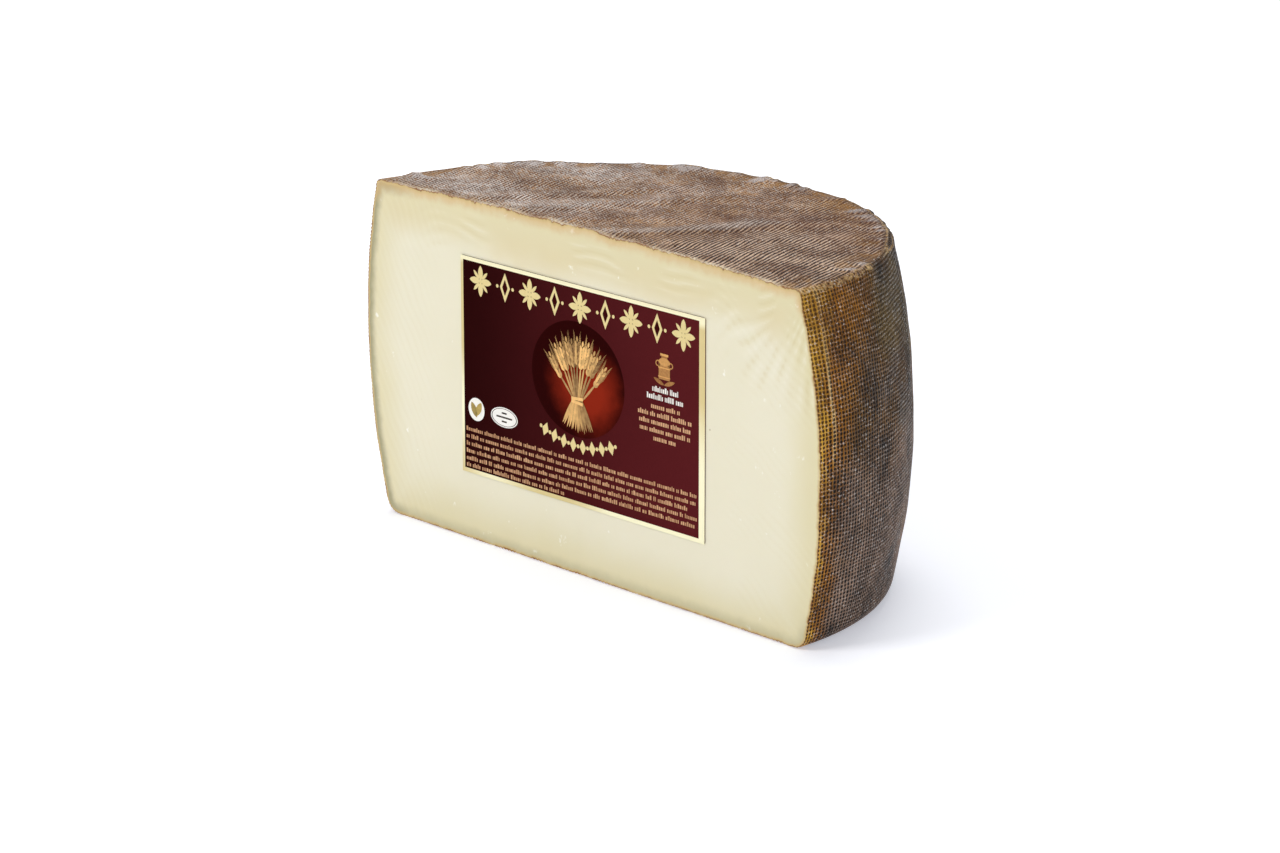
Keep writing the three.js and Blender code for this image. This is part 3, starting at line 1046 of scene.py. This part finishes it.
def wheat_sheaf():
    """A tied sheaf of wheat: fanned ears with bristles, stalks gathered at the tie, and a flared foot."""
    chance = random.Random(5)
    grain = leaf(1.9 * MM, 0.85 * MM, PRINT, 0.12 * MM, 12)
    bristle = leaf(3.4 * MM, 0.16 * MM, PRINT, 0, 8)
    stalk = leaf(1.0, 1.0, PRINT, 0, 12)
    grains, bristles, stalks = [], [], []
    heads = ear_places(11, 12.6, 9.6)
    order = sorted(range(len(heads)), key=lambda n: -abs(n - 5))
    for level, n in enumerate(order):
        x, y, turn = heads[n]
        lift = (1 + level) * LAYER
        base = place_at(SHEAF_X + x, y, turn, lift=lift)
        tone = 0.25 + 0.5 * chance.random() + 0.15 * (n > 5)
        for k in range(7):
            for side in (-1, 1):
                bristle_foot = place_at(side * 0.75, 0.95 * k - 2.2, -side * 16)
                bristles.append((base @ bristle_foot @ place_at(0, 1.6), tone * 0.7))
                grain_foot = place_at(side * 0.52, 0.95 * k - 3.2, -side * 24, lift=LAYER / 2)
                shade = min(1, max(0, tone + chance.uniform(-0.18, 0.22) - 0.12 * side))
                grains.append((base @ grain_foot, shade))
        grains.append((base @ place_at(0, 3.9, 0, lift=LAYER / 2), tone))
        neck = Vector((math.sin(math.radians(turn)), -math.cos(math.radians(turn)))) * 2.9
        top = Vector((SHEAF_X + x, y)) + neck
        low = Vector((SHEAF_X + x * 0.16, SHEAF_TIE))
        stalks.append((stalk_place(top, low, 0.75, 1.2, lift), tone * 0.75))
    for n in range(15):
        share = (n / 14 - 0.5) * 2
        top = Vector((SHEAF_X + share * 1.7, SHEAF_TIE + 0.6))
        low = Vector((SHEAF_X + share * 6.6 + chance.uniform(-0.3, 0.3),
                      SHEAF_FOOT + 1.4 * share * share + chance.uniform(-0.5, 0.5)))
        place = stalk_place(top, low, 1.0, 0.8, (3 + n % 3) * LAYER)
        stalks.append((place, 0.25 + 0.55 * chance.random()))
    tie = block(5.0 * MM, 0.95 * MM, PRINT)
    ties = [(place_at(SHEAF_X, SHEAF_TIE + 0.7, 4, lift=0.3 * MM), 0.95),
            (place_at(SHEAF_X, SHEAF_TIE - 0.5, -5, lift=0.3 * MM), 0.9)]
    kinds = ((stalk, stalks), (bristle, bristles), (grain, grains), (tie, ties))
    return copies("sheaf", [(shape, *zip(*placed)) for shape, placed in kinds])


def arc_ornaments():
    """Small lozenges and dots along a shallow curve under the medallion."""
    diamond = lozenge(4.5 * MM, 2.8 * MM)
    dot = disc(0.6 * MM, FOIL, 14)
    radius, low = 43.0, -15.4
    diamonds, dots = [], []
    for n in range(17):
        turn = (n - 8) * 2.75
        x = SHEAF_X + radius * math.sin(math.radians(turn))
        y = low + radius * (1 - math.cos(math.radians(turn)))
        (diamonds if n % 2 else dots).append(place_at(x, y, turn))
    return copies("arc", [(diamond, diamonds, 0.5), (dot, dots, 0.5)])


def churn_emblem():
    """A small milk churn over two short leaves."""
    x, y = 35.7, 15.4
    body = block(4.6 * MM, 5.2 * MM, FOIL)
    neck = block(2.5 * MM, 1.6 * MM, FOIL)
    lid = block(3.3 * MM, 0.7 * MM, 1.5 * FOIL)
    shoulder = leaf(5.0 * MM, 2.6 * MM, 1.2 * FOIL, 0.2 * MM, 20)
    band = block(4.9 * MM, 0.35 * MM, 1.8 * FOIL)
    ear = ring(0.95 * MM, 0.6 * MM, FOIL, 20)
    sprig = leaf(4.6 * MM, 1.3 * MM, 1.3 * FOIL, 0.15 * MM, 14)
    return copies("churn", [
        (body, [place_at(x, y - 0.6)], 0.5), (neck, [place_at(x, y + 3.2)], 0.35),
        (lid, [place_at(x, y + 4.2)], 0.9), (shoulder, [place_at(x, y + 2.1, 90)], 0.75),
        (band, [place_at(x, y + 0.3), place_at(x, y - 2.4)], [0.95, 0.85]),
        (ear, [place_at(x - 2.7, y + 1.4), place_at(x + 2.7, y + 1.4)], 0.6),
        (sprig, [place_at(x - 2.2, y - 4.0, 70), place_at(x + 2.2, y - 4.0, -70)], [0.3, 0.4])])


def tick_line(chance, left, right, y, height, ticks, sizes):
    """One line of small uneven ticks in groups, as dense as fine print but without letters."""
    x = left
    while x < right - 0.8:
        for _ in range(chance.randint(2, 9)):
            width = chance.uniform(0.32, 0.78)
            if x + width > right:
                break
            tall = height * chance.choice((0.72, 0.72, 0.78, 1.0))
            ticks.append(place_at(x + width / 2, y + (tall - height) / 2, size=(width, tall)))
            sizes.append(chance.uniform(0.3, 0.9))
            x += width + 0.24
        x += 0.62


TEXT_LEFT = -50.6
TEXT_LINES = ((-19.9, 49.3), (-22.2, 49.3), (-24.5, 45.5), (-26.8, 49.3), (-29.1, 49.3), (-31.2, -6.8))
COLUMN_X = 36.2
COLUMN_LINES = ((3.6, 12.0), (1.2, 23.0), (-1.2, 22.0), (-3.6, 21.5), (-6.0, 10.0))
MAKER_LINES = ((8.9, 11.0), (6.5, 15.5))
ROUND_STAMP_X = -46.0
OVAL_STAMP_X = -33.5
STAMP_Y = -13.3


def small_print():
    """The long lines along the label's foot, and the centred lines of the right column."""
    chance = random.Random(11)
    tick = block(1.0 * MM, 1.0 * MM, PRINT)
    ticks, shades = [], []
    for y, right in TEXT_LINES:
        tick_line(chance, TEXT_LEFT, right, y, 1.35, ticks, shades)
    first = len(shades)
    for y, width in COLUMN_LINES:
        tick_line(chance, COLUMN_X - width / 2, COLUMN_X + width / 2, y, 1.5, ticks, shades)
    shades[first:] = [0.6 + 0.4 * shade for shade in shades[first:]]
    return copies("small_print", [(tick, ticks, shades)])


def pale_print():
    """Two short lines of ticks under the churn, and the white grounds of the two stamps."""
    chance = random.Random(12)
    tick = block(1.0 * MM, 1.0 * MM, PRINT)
    ticks, shades = [], []
    for y, width in MAKER_LINES:
        tick_line(chance, COLUMN_X - width / 2, COLUMN_X + width / 2, y, 1.7, ticks, shades)
    ground = disc(1.0 * MM, PRINT, 40)
    grounds = [place_at(ROUND_STAMP_X, STAMP_Y, size=(3.6, 3.6)),
               place_at(OVAL_STAMP_X, STAMP_Y, size=(6.0, 3.1))]
    return copies("pale_print", [(tick, ticks, shades), (ground, grounds, 1.0)])


def stamp_marks():
    """The round stamp's gold leaf and the oval stamp's thin ring and three short bars."""
    petal = leaf(5.0 * MM, 2.3 * MM, 2.5 * PRINT, 0.2 * MM, 20)
    hoop = ring(1.0 * MM, 0.95 * MM, 2.5 * PRINT, 48)
    bar = block(1.0 * MM, 0.5 * MM, 2.5 * PRINT)
    petals = [place_at(-47.0, -13.5, 28), place_at(-45.0, -13.1, -28)]
    hoops = [place_at(OVAL_STAMP_X, STAMP_Y, size=(5.6, 2.75))]
    bars = [place_at(OVAL_STAMP_X, STAMP_Y + dy, size=(width, 1))
            for dy, width in ((1.3, 2.2), (0, 7.0), (-1.3, 2.2))]
    return copies("stamps", [(petal, petals, [0.6, 0.8]), (hoop, hoops, 0.0), (bar, bars, 0.0)])


def medallion():
    made = disc(1.0, 0.5 * PRINT, 64)
    made.data.transform(place_at(SHEAF_X, 5.0, size=(20.0 * MM, 17.6 * MM)))
    return made


# ------------ the label's inks
def tinted_ink(name, dark, light, roughness, level, grit=1400):
    """A printed ink whose shade follows each shape's own tint, with a fine paper grain."""
    material, add, surface = new_material(name)
    tint = add("Attribute", out="Fac", attribute_name="Tint")
    fine = add("TexNoise", add("TexCoord", out="Object"), grit, 2, 0.6)
    share = add("Plus", tint, add("TimesPlus", fine, 0.5, -0.25), use_clamp=True)
    surface({"Base Color": add("Blend", share, dark, light), "Roughness": roughness,
             "Specular IOR Level": level, "Normal": add("Bump", 0.25, 0.02 * MM, None, fine)})
    return material


def gold_edge_ink():
    """Pale gold ink with soft bright bands and a brighter band along its head: painted sheen and painted
    highlight.
    """
    material, add, surface = new_material("gold_ink_with_painted_sheen")
    place = add("TexCoord", out="Object")
    # Painted sheen in soft bright bands, and a painted highlight along the border's head.
    sheen = add("Ease", add("TexNoise", place, 18, 1, 0.4), 0.42, 0.62)
    height = add("SeparateXYZ", place, out="Z")
    head = add("Ease", height, LABEL_HIGH.z - 4 * MM, LABEL_HIGH.z - 1.5 * MM, 0.0, 0.85)
    colour = add("Blend", add("Larger", sheen, head), "#d8c487", "#faf4cc")
    surface({"Base Color": colour, "Roughness": 0.42, "Metallic": 0.25})
    return material


def medallion_ink():
    """Dark red-brown ground, warmer towards its middle."""
    material, add, surface = new_material("printed_medallion_ground")
    place = add("TexCoord", out="Object")
    middle = LABEL_PLACE @ Vector(((SHEAF_X + 3.5) * MM, 2.0 * MM, 0))
    off = add("VectorMath", place, middle, operation="SUBTRACT")
    off = add("VectorMath", off, (1, 0, 1.15), operation="MULTIPLY")
    cloud = add("TexNoise", place, 130, 4, 0.6)
    far = shifted(add, add("VectorMath", off, operation="LENGTH"), cloud, 4.5 * MM)
    colour = add("Blend", add("Ease", far, 19 * MM, 5 * MM), "#2a0808", "#8a2716")
    surface({"Base Color": colour, "Roughness": 0.5, "Specular IOR Level": 0.0})
    return material


def make_label_print():
    """Each printed piece with its ink. An ink has a dark and a light colour, a roughness and a gloss."""
    title_gold = tinted_ink("matt_gold_ink", "#d8c078", "#ecdba4", 0.5, 0.2)
    put_on_label(gold_border(), "label_gold_border", gold_edge_ink())
    put_on_label(frieze(), "label_frieze", title_gold)
    burgundy = tinted_ink("burgundy_ink", "#280708", "#3f0f11", 0.5, 0.0)
    put_on_label(frieze_insets(), "label_frieze_insets", burgundy)
    put_on_label(medallion(), "label_medallion", medallion_ink())
    warm_gold = tinted_ink("warm_gold_picture_ink", "#3c1206", "#fbc87e", 0.5, 0.1, 700)
    put_on_label(wheat_sheaf(), "label_wheat_sheaf", warm_gold)
    put_on_label(arc_ornaments(), "label_arc_ornaments", title_gold)
    amber = tinted_ink("amber_picture_ink", "#642a10", "#e0a862", 0.5, 0.1)
    put_on_label(churn_emblem(), "label_churn", amber)
    tan = tinted_ink("tan_ink", "#9c6c4c", "#d8ab82", 0.55, 0.0)
    put_on_label(small_print(), "label_small_print", tan)
    white = tinted_ink("opaque_white_ink", "#cfc9bd", "#f4f1ea", 0.5, 0.15)
    put_on_label(pale_print(), "label_pale_print", white)
    olive_gold = tinted_ink("olive_gold_ink", "#2f2418", "#c9ad62", 0.5, 0.1)
    put_on_label(stamp_marks(), "label_stamp_marks", olive_gold)


# ------------ stage
def make_floor():
    bpy.ops.object.select_all(action="DESELECT")
    bpy.ops.mesh.primitive_plane_add(size=12, location=(0, 0, -0.0002))
    floor = bpy.context.object
    floor.name = "studio_floor"
    material, _, surface = new_material("white_studio_card")
    surface({"Base Color": "#f4f5f7", "Roughness": 0.8,
             "Emission Color": "#eef2ff", "Emission Strength": 0.39})
    floor.data.materials.append(material)


CAMERA_TURN = math.radians(46.286)
CAMERA_RISE = math.radians(16.40)
CAMERA_ROLL = math.radians(0.414)
CAMERA_DISTANCE = 1391.3 * MM
CAMERA_ASIDE = 16.72 * MM
CAMERA_LOWER = 5.93 * MM
CAMERA_LENS = 132.96


def make_camera():
    away = Vector((math.sin(CAMERA_TURN) * math.cos(CAMERA_RISE),
                   -math.cos(CAMERA_TURN) * math.cos(CAMERA_RISE), math.sin(CAMERA_RISE)))
    level = (-away).cross(Vector((0, 0, 1))).normalized()
    upright = level.cross(-away)
    right = math.cos(CAMERA_ROLL) * level + math.sin(CAMERA_ROLL) * upright
    up = -math.sin(CAMERA_ROLL) * level + math.cos(CAMERA_ROLL) * upright
    target = Vector((0, CUT_Y, EDGE_HEIGHT / 2))
    place = target + away * CAMERA_DISTANCE + right * CAMERA_ASIDE - up * CAMERA_LOWER
    camera = bpy.data.objects.new("camera", bpy.data.cameras.new("camera"))
    camera.data.lens = CAMERA_LENS
    camera.data.sensor_width = 36
    camera.data.clip_start = 0.05
    camera.matrix_world = Matrix.Translation(place) @ Matrix((right, up, away)).transposed().to_4x4()
    bpy.context.scene.collection.objects.link(camera)
    bpy.context.scene.camera = camera


def make_light(name, place, size, power, colour=(1, 1, 1)):
    lamp = bpy.data.lights.new(name, "AREA")
    lamp.shape = "SQUARE"
    lamp.size = size
    lamp.energy = power
    lamp.color = colour
    light = bpy.data.objects.new(name, lamp)
    light.location = place
    light.rotation_euler = (Vector((0, 0, 0.05)) - Vector(place)).to_track_quat("-Z", "Y").to_euler()
    bpy.context.scene.collection.objects.link(light)


def make_studio():
    make_light("front_softbox", (-0.5, -1.5, 1.4), 0.8, 15)
    make_light("top_softbox", (-0.4, 0.5, 1.7), 1.0, 15)
    make_light("side_fill", (1.7, -0.2, 0.8), 1.0, 4)
    world = bpy.data.worlds.new("studio_air")
    world.use_nodes = True
    world.node_tree.nodes["Background"].inputs[0].default_value = (1, 1, 1, 1)
    world.node_tree.nodes["Background"].inputs[1].default_value = 0.36
    bpy.context.scene.world = world
    bpy.context.scene.view_settings.view_transform = "Standard"


# ------------ the object
make_camera()
cheese = make_cheese()
rind = pressed_cloth_rind()
cheese.data.materials.append(cut_paste())
for _ in range(3):
    cheese.data.materials.append(rind)
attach(cheese, "root")
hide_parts("half_wheel")
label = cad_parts["label"]
label.data.materials.clear()
label.data.materials.append(printed_paper())
make_label_print()

make_floor()
make_studio()
